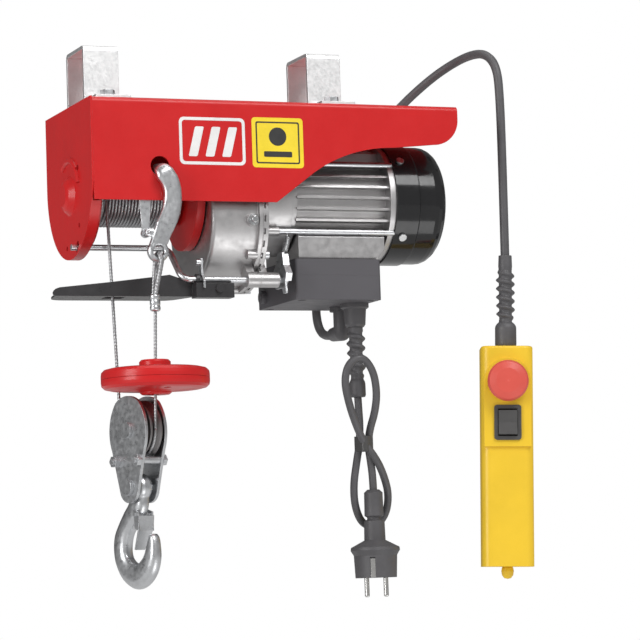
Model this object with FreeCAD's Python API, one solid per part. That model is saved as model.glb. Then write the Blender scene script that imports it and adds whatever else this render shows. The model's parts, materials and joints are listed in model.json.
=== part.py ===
import FreeCAD, Part
import math
import os
from FreeCAD import Vector

# Electric wire rope hoist. Millimetres, +Z up, X along the hoist, -Y is the front.
# Distances in x are measured from the left end of the housing. save() then moves the
# origin to the beam seat: on the top plate, midway between the two hangers.

# ---- driving dimensions ----
HOUSING_L, HOUSING_W, HOUSING_H, SHEET = 380.0, 152.0, 99.0, 2.0
HALF_W = HOUSING_W / 2
HANGER_X = (26.5, 257.5)
ORIGIN_X = sum(HANGER_X) / 2
STRAP_W, STRAP_T = 35.0, 3.5
BEAM_GAP_W, BEAM_GAP_H = 51.0, 54.0
FOOT_BOLT_Y, FOOT_END_Y = 47.0, 66.0
BOLT_R, BOLT_HEAD_H, BOLT_AF = 4.0, 5.3, 13.0

DRUM_Z, DRUM_CORE_R, DRUM_FLANGE_R = -86.0, 22.0, 52.0
DRUM_X0, DRUM_X1, DRUM_RIM_W = 14.0, 121.5, 8.0
COIL_R, COIL_X0, COIL_X1 = 30.0, 18.0, 106.0
ROPE_D = 3.2
SHAFT_R = 10.0
FIT = 0.05

CASE_Z, CASE_R, CASE_WALL = -108.0, 66.0, 3.0
CASE_FLANGE_R, CASE_FLANGE_T = 71.5, 4.0
CASE_X0, CASE_X1, COVER_X1 = 123.0, 173.5, 178.8
CASE_SCREW_R, CASE_SCREW_ANGLES = 68.0, (20, 90, 160, 216, 270, 324)
LAY_Z, LAY_SHAFT_R = -134.0, 5.0
LAY_GEAR_R, LAY_PINION_R = 35.2, 7.2
DRUM_GEAR_R, MOTOR_PINION_R = 40.6, 8.6

MOTOR_Z, MOTOR_BORE_R, FIN_R = -90.0, 40.0, 54.0
MOTOR_X0, MOTOR_X1 = 211.0, 319.0
FIN_PITCH, FIN_T = 11.0, 2.4
ROTOR_SHAFT_R, ROTOR_R = 7.0, 23.5
FAN_COVER_R, FAN_COVER_X1 = 60.5, 377.0
TIE_Y, TIE_DZ, TIE_R = 47.0, 33.5, 2.8

BOX_X0, BOX_X1, BOX_Y = 211.0, 301.0, 54.0
BOX_TOP, BOX_SEAM, BOX_BOTTOM, BOX_WALL = -151.0, -167.0, -191.0, 2.5

LEVER_Y, LEVER_Z = -52.0, -172.0
LIMIT_ROD_R, LIMIT_CAM_X = 3.0, 196.0
CRANK_Y, CRANK_Z, CRANK_X, LEVER_TILT = -21.0, -138.5, 92.0, 5.0
SPRING_HEAD, SPRING_FOOT = Vector(207.5, -47, -127.5), Vector(200, -53, -147.5)
SPRING_HOOK = 3.4

MAINS_X, MAINS_Y, MAINS_D = 288.0, -14.0, 7.6
PENDANT_GLAND = Vector(289, 24, -216)
PENDANT_CABLE_D = 9.0

BLOCK = Vector(45, -56.1, -317)
BLOCK_TURN = 20.0
PULLEY_ROPE_R, PULLEY_R, PULLEY_W = 26.5, 28.5, 14.0
CHEEK_R, CHEEK_T, CHEEK_GAP = 32.5, 3.0, 20.0
HOOK_PIN_Z = -54.0
LATCH_PIVOT, LATCH_REST = (-3.0, -80.0), 18.0

ANCHOR = Vector(57, -82, -190)
FERRULE_R, FERRULE_H = 5.6, 16.0
LOOP_CROWN, LOOP_R, LOOP_ROPE_R = Vector(61.5, -82, -159.5), 9.0, 2.4
EYE_Z, EYE_R, EYE_HALF_T = -149.0, 5.4, 4.0
DISC = Vector(55.3, -81.4, -270)
DISC_R, DISC_RIM_H, DISC_HUB_R, DISC_BORE_R = 51.5, 21.0, 15.0, 8.8

PENDANT = Vector(444, -37, -150)
PENDANT_TURN, PENDANT_LEAN = -21.4, 1.8
GRIP_W, GRIP_D, GRIP_H, GRIP_DROP = 52.0, 42.0, 220.0, 86.5
PANEL_RISE, PANEL_BOTTOM = 2.4, 101.0

AX, AY, AZ = Vector(1, 0, 0), Vector(0, 1, 0), Vector(0, 0, 1)
os.makedirs("parts", exist_ok=True)


# ---- helpers ----
def save(name, *solids):
    shape = solids[0] if len(solids) == 1 else Part.makeCompound(list(solids))
    shape = shape.copy()
    shape.translate(Vector(-ORIGIN_X, 0, 0))
    shape.exportStep("parts/%s.step" % name)


def cyl(start, axis, radius, length):
    return Part.makeCylinder(radius, length, start, axis)


def ring(start, axis, outer, inner, length):
    return cyl(start, axis, outer, length).cut(cyl(start, axis, inner, length))


def box(x0, x1, y0, y1, z0, z1):
    return Part.makeBox(x1 - x0, y1 - y0, z1 - z0, Vector(x0, y0, z0))


def fuse(first, *others):
    return first.fuse(list(others)).removeSplitter()


def round_edges(shape, radius, pick):
    return shape.makeFillet(radius, [edge for edge in shape.Edges if pick(edge)])


def along(edge, axis):
    if edge.Curve.TypeId != "Part::GeomLine":
        return False
    return abs(edge.tangentAt(edge.FirstParameter).dot(axis)) > 0.999


def polygon(points):
    return Part.makePolygon([Vector(*p) for p in points] + [Vector(*points[0])])


def prism(points, vector):
    return Part.Face(polygon(points)).extrude(vector)


def revolve(points, base, axis):
    """Solid of revolution of an outline given as (radius, distance along axis)."""
    side = AX if abs(axis.dot(AX)) < 0.9 else AY
    outline = [base + side * r + axis * h for r, h in points]
    face = Part.Face(Part.makePolygon(outline + [outline[0]]))
    return face.revolve(base, axis, 360)


def hexagon(centre, axis, across_flats, length):
    """Hexagonal prism, used for bolt heads and nuts."""
    side = AX if abs(axis.dot(AX)) < 0.9 else AY
    other = axis.cross(side)
    radius = across_flats / math.sqrt(3)
    corners = []
    for k in range(6):
        angle = math.radians(60 * k)
        corners.append(centre + side * (radius * math.cos(angle)) + other * (radius * math.sin(angle)))
    return Part.Face(Part.makePolygon(corners + [corners[0]])).extrude(axis * length)


def toothed_wheel(centre, radius, teeth, x0, x1, bore):
    """Spur gear along X: straight-sided teeth inside the tip radius."""
    depth = 2.2 * 2 * radius / (teeth + 2)
    points = []
    for k in range(teeth):
        for share, r in ((0.0, radius - depth), (0.22, radius), (0.44, radius), (0.66, radius - depth)):
            angle = 2 * math.pi * (k + share) / teeth
            points.append((x0, centre[0] + r * math.cos(angle), centre[1] + r * math.sin(angle)))
    wheel = prism(points, Vector(x1 - x0, 0, 0))
    return wheel.cut(cyl(Vector(x0, *centre), AX, bore, x1 - x0)) if bore else wheel


def rounded_path(points, most=math.inf):
    """Straight runs joined by tangent arcs that start at most `most` from a corner; wire and arc radii."""
    points = [Vector(*p) for p in points]
    edges, radii, last = [], [], points[0]
    for before, at, after in zip(points, points[1:], points[2:]):
        inward, outward = before - at, after - at
        set_back = min(most, 0.45 * min(inward.Length, outward.Length))
        turn = math.atan2(inward.cross(outward).Length, -inward.dot(outward))
        inward.normalize()
        outward.normalize()
        radii.append(set_back / math.tan(turn / 2))
        start, end = at + inward * set_back, at + outward * set_back
        bisector = inward + outward
        bisector.normalize()
        to_middle = radii[-1] / math.cos(turn / 2) - radii[-1]
        edges.append(Part.LineSegment(last, start).toShape())
        edges.append(Part.Arc(start, at + bisector * to_middle, end).toShape())
        last = end
    edges.append(Part.LineSegment(last, points[-1]).toShape())
    return Part.Wire(edges), radii


def cord_tube(name, points, diameter):
    """Plain tube of a cord along its route, with a printed check of bends and volume."""
    wire, radii = rounded_path(points)
    first = Vector(*points[1]) - Vector(*points[0])
    section = Part.Wire(Part.Circle(Vector(*points[0]), first, diameter / 2).toShape())
    solid = wire.makePipeShell([section], True, False)
    expected = math.pi * diameter ** 2 / 4 * wire.Length
    print(name, "length %.0f" % wire.Length, "radii", " ".join("%.0f" % r for r in radii))
    print(name, "volume ratio %.3f" % (solid.Volume / expected))
    return solid


def in_block(shape):
    """Moves a shape from the pulley block's own frame to its place under the hoist."""
    shape = shape.copy()
    shape.rotate(Vector(0, 0, 0), AZ, BLOCK_TURN)
    shape.translate(BLOCK)
    return shape


def in_pendant(shape):
    """Moves a shape from the pendant's own frame, hanging down -Z from its cable."""
    shape = shape.copy()
    shape.rotate(Vector(0, 0, 0), AY, PENDANT_LEAN)
    shape.rotate(Vector(0, 0, 0), AZ, PENDANT_TURN)
    shape.translate(PENDANT)
    return shape


# ---- housing, end plate, hangers ----
def make_housing():
    low, flat_end, rise = -HOUSING_H, 186.0, Vector(226, -HALF_W, -69)
    start = Vector(310, -HALF_W, -43)
    edges = [
        Part.LineSegment(Vector(SHEET, -HALF_W, 0), Vector(SHEET, -HALF_W, low)),
        Part.LineSegment(Vector(SHEET, -HALF_W, low), Vector(flat_end, -HALF_W, low)),
        Part.LineSegment(Vector(flat_end, -HALF_W, low), rise),
        Part.Arc(rise, Vector(265, -HALF_W, -50), start),
        Part.LineSegment(start, Vector(354, -HALF_W, -39)),
        Part.Arc(Vector(354, -HALF_W, -39), Vector(373, -HALF_W, -31), Vector(HOUSING_L, -HALF_W, -13)),
        Part.LineSegment(Vector(HOUSING_L, -HALF_W, -13), Vector(HOUSING_L, -HALF_W, 0)),
        Part.LineSegment(Vector(HOUSING_L, -HALF_W, 0), Vector(SHEET, -HALF_W, 0)),
    ]
    outline = Part.Wire([edge.toShape() for edge in edges])
    outer = Part.Face(outline).extrude(Vector(0, HOUSING_W, 0))
    outer = round_edges(outer, 5, lambda e: along(e, AX) and abs(e.CenterOfMass.z) < 0.1)
    inner = box(-1, HOUSING_L + 1, SHEET - HALF_W, HALF_W - SHEET, -200, -SHEET)
    inner = round_edges(inner, 3, lambda e: along(e, AX) and abs(e.CenterOfMass.z + SHEET) < 0.1)
    shell = outer.cut(inner)
    for x in HANGER_X:
        for side in (-1, 1):
            shell = shell.cut(cyl(Vector(x, side * FOOT_BOLT_Y, -5), AZ, BOLT_R + 0.3, 10))
    hook_hole = cyl(Vector(68, -HALF_W - 2, -66), AY, 9.5, 6)
    save("housing", shell.cut(hook_hole))


def end_outline(half_width, bottom_radius, x):
    centre_z = bottom_radius - 148.0
    left, right = Vector(x, -half_width, centre_z), Vector(x, half_width, centre_z)
    edges = [
        Part.LineSegment(Vector(x, -half_width, 0), left),
        Part.Arc(left, Vector(x, 0, centre_z - bottom_radius), right),
        Part.LineSegment(right, Vector(x, half_width, 0)),
        Part.LineSegment(Vector(x, half_width, 0), Vector(x, -half_width, 0)),
    ]
    return Part.Face(Part.Wire([edge.toShape() for edge in edges]))


def make_end_plate():
    plate = end_outline(HALF_W, HALF_W, 0).extrude(Vector(SHEET, 0, 0))
    rim = end_outline(HALF_W, HALF_W, SHEET).extrude(Vector(8, 0, 0))
    hollow = end_outline(HALF_W - SHEET, HALF_W - SHEET, SHEET).extrude(Vector(8, 0, 0))
    hollow.translate(Vector(0, 0, SHEET))
    rim = rim.cut(hollow).cut(box(0, 20, -100, 100, -HOUSING_H - 0.3, 10))
    boss = revolve([(0, 0), (20, 0), (17, 3.2), (14.5, 5.8), (10.5, 7.6), (0, 7.6)],
                   Vector(0.5, 0, DRUM_Z), -AX)
    bead = Part.makeTorus(34, 3, Vector(0, 0, DRUM_Z), -AX, -180, 180, 110)
    bead.rotate(Vector(0, 0, DRUM_Z), AX, -105)
    bead = bead.cut(box(0.5, 20, -100, 100, -200, 0))
    plate = fuse(plate, rim, boss, bead)
    for y, z in ((-30, -62), (-30, -118), (12, -136)):
        slot = cyl(Vector(-5, y, z), AX, 2.5, 12)
        plate = plate.cut(slot)
    bore = cyl(Vector(-5.9, 0, DRUM_Z), AX, 9 + FIT, 12.9)
    plate = plate.cut(bore)
    for share in (0, 0.25, 0.5, 0.75, 1):
        hole = cyl(Vector(-5, CRANK_Y, CRANK_Z), AX, LIMIT_ROD_R + 0.6, 12)
        hole.rotate(Vector(0, LEVER_Y, LEVER_Z), AX, LEVER_TILT * share)
        plate = plate.cut(hole)
    save("end_plate", plate)
    bush = ring(Vector(-5, 0, DRUM_Z), AX, 9, 7 + FIT, 15)
    flange = ring(Vector(SHEET + 0.05, 0, DRUM_Z), AX, 13, 8.9, 2)
    save("drum_bush", fuse(bush, flange))


def make_hangers():
    half, top = BEAM_GAP_W / 2, BEAM_GAP_H
    straps = []
    for x in HANGER_X:
        x0 = x - STRAP_W / 2
        outer = box(x0, x0 + STRAP_W, -half - STRAP_T, half + STRAP_T, 0.02, top + STRAP_T)
        feet = box(x0, x0 + STRAP_W, -FOOT_END_Y, FOOT_END_Y, 0.02, STRAP_T)
        outer = fuse(outer, feet)
        outer = round_edges(outer, 5, lambda e: along(e, AX) and e.CenterOfMass.z > top)
        passage = box(x0 - 1, x0 + STRAP_W + 1, -half, half, -1, top)
        strap = outer.cut(passage)
        for side in (-1, 1):
            strap = strap.cut(cyl(Vector(x, side * FOOT_BOLT_Y, -1), AZ, BOLT_R + 0.3, 8))
        straps.append(strap)
    save("hangers", *straps)
    bolts = []
    for x in HANGER_X:
        for y in (-FOOT_BOLT_Y, FOOT_BOLT_Y):
            seat = Vector(x, y, STRAP_T + 0.02)
            head = hexagon(seat + AZ * 1.6, AZ, BOLT_AF, BOLT_HEAD_H)
            washer = cyl(seat, AZ, 8, 1.6)
            shank = cyl(Vector(x, y, -SHEET - 8), AZ, BOLT_R, 10 + STRAP_T + SHEET)
            nut = hexagon(Vector(x, y, -SHEET - 6.52), AZ, BOLT_AF, 6.5)
            bolts.append(fuse(head, washer, shank))
            bolts.append(nut.cut(cyl(Vector(x, y, -20), AZ, BOLT_R + 0.03, 30)))
    save("hanger_bolts", *bolts)


# ---- drum and rope on it ----
def make_drum():
    core, end = DRUM_CORE_R, DRUM_X1 - DRUM_X0
    rim = end - DRUM_RIM_W
    outline = [(SHAFT_R + FIT, 0), (DRUM_FLANGE_R, 0), (DRUM_FLANGE_R, 3), (core, 3), (core, rim - 6),
               (DRUM_FLANGE_R, rim), (DRUM_FLANGE_R, end), (DRUM_FLANGE_R - 3, end),
               (DRUM_FLANGE_R - 3, rim + 3), (core, rim - 2), (core, end), (SHAFT_R + FIT, end)]
    save("drum", revolve(outline, Vector(DRUM_X0, 0, DRUM_Z), AX))
    shaft = cyl(Vector(11, 0, DRUM_Z), AX, SHAFT_R, 141)
    journal = cyl(Vector(-4, 0, DRUM_Z), AX, 7, 15)
    save("drum_shaft", fuse(shaft, journal))
    coil = ring(Vector(COIL_X0, 0, DRUM_Z), AX, COIL_R, DRUM_CORE_R + 0.02, COIL_X1 - COIL_X0)
    save("rope_coil", coil)
    save("drum_gear", toothed_wheel((0, DRUM_Z), DRUM_GEAR_R, 68, 142, 151.5, SHAFT_R + 0.02))


# ---- gear case ----
def lever_lug(x0, x1, bore):
    tube = cyl(Vector(x0, LEVER_Y, LEVER_Z), AX, 7.5, x1 - x0)
    web = prism([(x0, LEVER_Y - 6, LEVER_Z + 2), (x0, LEVER_Y + 6, LEVER_Z - 4),
                 (x0, -30, -158), (x0, -42, -150)], Vector(min(x1 - x0, 8), 0, 0))
    return tube.fuse(web), cyl(Vector(x0 - 1, LEVER_Y, LEVER_Z), AX, bore, x1 - x0 + 2)


def case_screw_places(x):
    places = []
    for angle in CASE_SCREW_ANGLES:
        turn = math.radians(angle)
        places.append(Vector(x, CASE_SCREW_R * math.cos(turn), CASE_Z + CASE_SCREW_R * math.sin(turn)))
    return places


def make_gear_case():
    inner_r, flange_x = CASE_R - CASE_WALL, CASE_X1 - CASE_FLANGE_T
    cup = cyl(Vector(CASE_X0, 0, CASE_Z), AX, CASE_R, CASE_X1 - CASE_X0)
    cup = round_edges(cup, 4, lambda e: e.CenterOfMass.x < CASE_X0 + 1 and e.Length > 100)
    flange = cyl(Vector(flange_x, 0, CASE_Z), AX, CASE_FLANGE_R, CASE_FLANGE_T)
    bosses = [cyl(place, AX, 4.5, 10) for place in case_screw_places(flange_x - 9)]
    lug, lug_bore = lever_lug(flange_x - 9, CASE_X1, LIMIT_ROD_R + FIT)
    plug_boss = cyl(Vector(163, -70, -115.5), AY, 6.1, 12)
    case = fuse(cup, flange, lug, plug_boss, *bosses)
    hollow = cyl(Vector(CASE_X0 + CASE_WALL, 0, CASE_Z), AX, inner_r, 60)
    bores = [
        lug_bore, hollow,
        cyl(Vector(100, 0, DRUM_Z), AX, SHAFT_R + FIT, 60),
        cyl(Vector(CASE_X0 + 1, 0, LAY_Z), AX, LAY_SHAFT_R + FIT, 10),
        cyl(Vector(163, -71, -115.5), AY, 3, 20),
    ]
    bores += [cyl(place, AX, 2.55, 20) for place in case_screw_places(flange_x - 6)]
    save("gear_case", case.cut(bores))

    lug, lug_bore = lever_lug(CASE_X1 + 0.02, 193, LIMIT_ROD_R + FIT)
    plate = cyl(Vector(CASE_X1 + 0.02, 0, CASE_Z), AX, CASE_FLANGE_R + 0.5, COVER_X1 - CASE_X1 - 0.02)
    spigot = ring(Vector(CASE_X1 - 3, 0, CASE_Z), AX, inner_r - 0.05, inner_r - 4, 4)
    cover = fuse(plate, spigot, lug)
    cuts = [
        lug_bore,
        cyl(Vector(150, 0, MOTOR_Z), AX, ROTOR_SHAFT_R + 0.1, 60),
        cyl(Vector(150, 0, LAY_Z), AX, LAY_SHAFT_R + FIT, CASE_X1 + 4 - 150),
    ]
    cuts += [cyl(place, AX, 2.55, 20) for place in case_screw_places(CASE_X1 - 5)]
    for k in range(36):
        turn = math.radians(10 * k + 5)
        groove = box(CASE_X1 + 0.5, CASE_X1 + 2.3, -3.2, 3.2, CASE_FLANGE_R - 2.5, CASE_FLANGE_R + 5)
        groove.rotate(Vector(0, 0, 0), AX, math.degrees(turn))
        groove.translate(Vector(0, 0, CASE_Z))
        cuts.append(groove)
    save("gear_cover", cover.cut(cuts))

    screws = []
    for place in case_screw_places(COVER_X1):
        head = cyl(place + AX * 0.02, AX, 4.2, 4)
        socket = hexagon(place + AX * 2, AX, 4, 3)
        shank = cyl(place - AX * 14, AX, 2.5, 16)
        screws.append(head.fuse(shank).cut(socket))
    for side in (-1, 1):
        for up in (-1, 1):
            direction = Vector(0, side * 47.5, up * 37.5).normalize()
            foot = Vector(328, 0, MOTOR_Z) + direction * (FAN_COVER_R + 0.05)
            screws.append(cyl(foot, direction, 4.0, 2.2).fuse(cyl(foot, -direction, 1.9, 1.9)))
    washer = cyl(Vector(163, -72, -115.5), AY, 5.4, 1.9)
    cap = round_edges(cyl(Vector(163, -77, -115.5), AY, 3.6, 5), 1.2, lambda e: e.CenterOfMass.y < -76)
    save("oil_plug", fuse(washer, cap, cyl(Vector(163, -72, -115.5), AY, 2.95, 8)))
    return screws


def make_gear_train():
    shaft = cyl(Vector(CASE_X0 + 1.2, 0, LAY_Z), AX, LAY_SHAFT_R, 38)
    pinion = toothed_wheel((0, LAY_Z), LAY_PINION_R, 12, 142, 152, 0)
    gear = toothed_wheel((0, LAY_Z), LAY_GEAR_R, 74, 155.5, 165, LAY_SHAFT_R + 0.02)
    save("layshaft", fuse(shaft, pinion), gear)
    core = cyl(Vector(235, 0, MOTOR_Z), AX, ROTOR_R, 60)
    shaft = cyl(Vector(155, 0, MOTOR_Z), AX, ROTOR_SHAFT_R - 0.5, 190)
    shaft = shaft.fuse(cyl(Vector(170, 0, MOTOR_Z), AX, ROTOR_SHAFT_R, 145))
    pinion = toothed_wheel((0, MOTOR_Z), MOTOR_PINION_R, 18, 154.5, 166, 0)
    save("rotor", fuse(core, shaft, pinion))
    hub = ring(Vector(330, 0, MOTOR_Z), AX, 12, ROTOR_SHAFT_R - 0.48, 14)
    disc = ring(Vector(330, 0, MOTOR_Z), AX, 46, 11, 2)
    blades = []
    for k in range(8):
        blade = box(332, 344, -1, 1, MOTOR_Z + 11, MOTOR_Z + 46)
        blade.rotate(Vector(0, 0, MOTOR_Z), AX, 45 * k)
        blades.append(blade)
    save("fan", fuse(hub, disc, *blades))


# ---- motor ----
def make_motor():
    x0 = COVER_X1 + 0.05
    bell = revolve([(8.5, 0), (50, 0), (53, 4), (53, MOTOR_X0 - x0), (43, MOTOR_X0 - x0),
                    (43, 8), (8.5, 8)], Vector(x0, 0, MOTOR_Z), AX)
    lugs, holes = [], []
    for side in (-1, 1):
        for up in (-1, 1):
            y, z = side * TIE_Y, MOTOR_Z + up * TIE_DZ
            lugs.append(cyl(Vector(x0, y, z), AX, TIE_R + 1.5, 18))
            holes.append(cyl(Vector(x0 - 1, y, z), AX, TIE_R + FIT, 200))
    bell = fuse(bell, *lugs)
    holes += [cyl(place, AX, 4.6, 8) for place in case_screw_places(x0 - 1)]
    save("end_bell", bell.cut(holes))

    length = MOTOR_X1 - MOTOR_X0
    envelope = cyl(Vector(MOTOR_X0, 0, MOTOR_Z), AX, FIN_R, length - 6)
    body = cyl(Vector(MOTOR_X0, 0, MOTOR_Z), AX, MOTOR_BORE_R + 4, length)
    fins = []
    for k in range(-3, 4):
        z = MOTOR_Z + k * FIN_PITCH
        fins.append(box(MOTOR_X0 + 4, MOTOR_X1 - 6, -FIN_R, FIN_R, z - FIN_T / 2, z + FIN_T / 2))
    for k in range(-2, 3):
        y = k * FIN_PITCH
        fins.append(box(MOTOR_X0 + 4, MOTOR_X1 - 6, y - FIN_T / 2, y + FIN_T / 2, MOTOR_Z, MOTOR_Z + FIN_R))
    fins = [fin.common(envelope) for fin in fins]
    front_ring = cyl(Vector(MOTOR_X0 + 0.05, 0, MOTOR_Z), AX, 52, 5)
    rear_flange = cyl(Vector(MOTOR_X1 - 6, 0, MOTOR_Z), AX, 58.3, 6)
    pad = prism([(218, -46, BOX_TOP + 0.05), (300, -46, BOX_TOP + 0.05), (309, -46, -140),
                 (309, -46, -126), (218, -46, -126)], Vector(0, 92, 0))
    pad = round_edges(pad, 3, lambda e: along(e, AX))
    housing = fuse(body, front_ring, rear_flange, pad, *fins)
    housing = housing.cut(cyl(Vector(MOTOR_X0 - 1, 0, MOTOR_Z), AX, MOTOR_BORE_R, length + 2))
    save("motor_housing", housing.cut(holes[:4]))

    core = ring(Vector(233, 0, MOTOR_Z), AX, MOTOR_BORE_R - 0.02, ROTOR_R + 0.5, 64)
    windings = [ring(Vector(x, 0, MOTOR_Z), AX, 38, 26, 12) for x in (221.2, 296.8)]
    save("stator", fuse(core, *windings))

    x0, r, end = MOTOR_X1 + 0.05, FAN_COVER_R, FAN_COVER_X1 - MOTOR_X1
    bend = 16.0
    arc = []
    for k in range(7):
        angle = math.radians(15 * k)
        arc.append((r - 1.5 - bend + bend * math.cos(angle), end - bend + bend * math.sin(angle)))
    inner_arc = [(q - 2 if q > 40 else q, h - 2) for q, h in reversed(arc)]
    outline = [(58.4, 0), (r, 0), (r, 24), (r - 1.5, 25.5)] + arc + [(14, end), (14, end - 2)]
    outline += inner_arc + [(58.4, 22), (58.4, 0.01)]
    cover = revolve(outline[:-1], Vector(x0, 0, MOTOR_Z), AX)
    vents = []
    for k in range(12):
        slot = box(x0 + end - 5, x0 + end + 5, -2, 2, MOTOR_Z + 18, MOTOR_Z + 40)
        slot.rotate(Vector(0, 0, MOTOR_Z), AX, 30 * k)
        vents.append(slot)
    for side in (-1, 1):
        for up in (-1, 1):
            direction = Vector(0, side * 47.5, up * 37.5).normalize()
            vents.append(cyl(Vector(328, 0, MOTOR_Z) + direction * 50, direction, 1.95, 20))
    save("fan_cover", cover.cut(vents))

    rods = []
    for side in (-1, 1):
        for up in (-1, 1):
            y, z = side * TIE_Y, MOTOR_Z + up * TIE_DZ
            rods.append(cyl(Vector(COVER_X1 + 0.1, y, z), AX, TIE_R, MOTOR_X1 - COVER_X1 - 0.2))
    save("tie_rods", *rods)


# ---- control box ----
def make_control_box():
    w = BOX_WALL
    upper = box(BOX_X0, BOX_X1, -BOX_Y, BOX_Y, BOX_SEAM + 0.02, BOX_TOP)
    upper = round_edges(upper, 3, lambda e: along(e, AZ))
    upper = upper.cut(box(BOX_X0 + w, BOX_X1 - w, -BOX_Y + w, BOX_Y - w, BOX_SEAM - 1, BOX_TOP - w))
    cable_way = cyl(Vector(256, 0, BOX_TOP - 5), AZ, 9, 10)
    save("box_body", upper.cut(cable_way))
    lower = box(BOX_X0, BOX_X1, -BOX_Y, BOX_Y, BOX_BOTTOM, BOX_SEAM)
    lower = round_edges(lower, 3, lambda e: along(e, AZ))
    lower = lower.cut(box(BOX_X0 + w, BOX_X1 - w, -BOX_Y + w, BOX_Y - w, BOX_BOTTOM + w, BOX_SEAM + 1))
    screws = []
    for x in (BOX_X0 + 9, BOX_X1 - 9):
        for y in (-BOX_Y + 9, BOX_Y - 9):
            pillar = cyl(Vector(x, y, BOX_BOTTOM), AZ, 5.5, BOX_SEAM - BOX_BOTTOM)
            recess = cyl(Vector(x, y, BOX_BOTTOM - 1), AZ, 4.2, 5)
            hole = cyl(Vector(x, y, BOX_BOTTOM), AZ, 2.1, 30)
            lower = lower.fuse(pillar).cut(recess).cut(hole)
            head = cyl(Vector(x, y, BOX_BOTTOM + 1.2), AZ, 3.9, 2.75)
            cross = box(x - 2.6, x + 2.6, y - 0.5, y + 0.5, BOX_BOTTOM, BOX_BOTTOM + 2.4)
            cross = cross.fuse(box(x - 0.5, x + 0.5, y - 2.6, y + 2.6, BOX_BOTTOM, BOX_BOTTOM + 2.4))
            screws.append(head.fuse(cyl(Vector(x, y, BOX_BOTTOM + 3), AZ, 2.0, 19)).cut(cross))
    for x, y in ((MAINS_X, MAINS_Y), (PENDANT_GLAND.x, PENDANT_GLAND.y)):
        lower = lower.cut(cyl(Vector(x, y, BOX_BOTTOM - 1), AZ, 6.5, 6))
    blank = cyl(Vector(BOX_X0 - 5, 34, -180), AX, 6.5, 6).fuse(cyl(Vector(BOX_X0 - 5.8, 34, -180), AX, 4, 2))
    save("box_cover", fuse(lower, blank))
    save("capacitor", cyl(Vector(227, 22, -171), AX, 14.5, 58))
    switch = box(214, 242, -37, -27, -186, -170)
    lever = box(216, 236, -34, -30, -169.9, -169.1)
    save("limit_switch", switch.fuse(box(217, 220, -34, -30, -170, -169.5)).fuse(lever))
    return screws


# ---- glands, mains lead, plug ----
def make_glands():
    base = Vector(MAINS_X, MAINS_Y, BOX_BOTTOM)
    hole = MAINS_D / 2 + 0.01
    gland = revolve([(hole, 3), (6.4, 3), (6.4, -0.02), (14, -0.02), (14, -4), (12, -5.5), (11.3, -5.5),
                     (10.2, -21), (8.5, -23.5), (hole, -23.5)], base, AZ)
    save("mains_gland", gland)
    outline = [(hole, -23.6), (8.2, -23.6)]
    for k in range(5):
        top = -27 - 9.5 * k
        outline += [(6.8, top), (9.6 - 0.2 * k, top - 3.5), (9.4 - 0.2 * k, top - 5), (6.4, top - 7.5)]
    outline += [(6.2, -76), (8.0, -79), (8.2, -92), (7.6, -93), (hole, -93)]
    save("mains_strain_relief", revolve(outline, base, AZ))
    base = Vector(PENDANT_GLAND.x, PENDANT_GLAND.y, BOX_BOTTOM - 0.02)
    drop = cyl(base, -AZ, 8.5, base.z - PENDANT_GLAND.z)
    flange = cyl(base, -AZ, 12, 4)
    elbow = Part.makeSphere(8.5, PENDANT_GLAND)
    outlet = revolve([(0, 0), (8.5, 0), (7.0, 24), (0, 24)], PENDANT_GLAND, AY)
    gland = fuse(drop, flange, elbow, outlet)
    bore = cyl(PENDANT_GLAND, AY, PENDANT_CABLE_D / 2 + 0.01, 30)
    save("pendant_gland", gland.cut(bore))


MAINS_ROUTE = [
    (288, -14, -282), (288.5, -14, -296), (290, -12, -312), (290, -9.5, -330), (286, -9, -350),
    (283, -7, -371), (286, -1, -392), (295, 4, -409), (309, 5, -413), (320, 1, -401),
    (321, -6, -381), (313, -14, -362), (302.5, -21.5, -346), (291.5, -18, -330), (281, -24, -312),
    (272, -30, -292), (266, -34, -269), (271, -36, -251), (285, -37, -245), (297, -35, -259),
    (301, -33, -281), (300.5, -27, -300), (298.5, -17, -316), (297.5, -13, -331),
    (299, -14.5, -347), (301, -14, -363), (301.2, -14, -379),
]
PLUG, PLUG_TURN = Vector(301, -14, -376), -30.0


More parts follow.
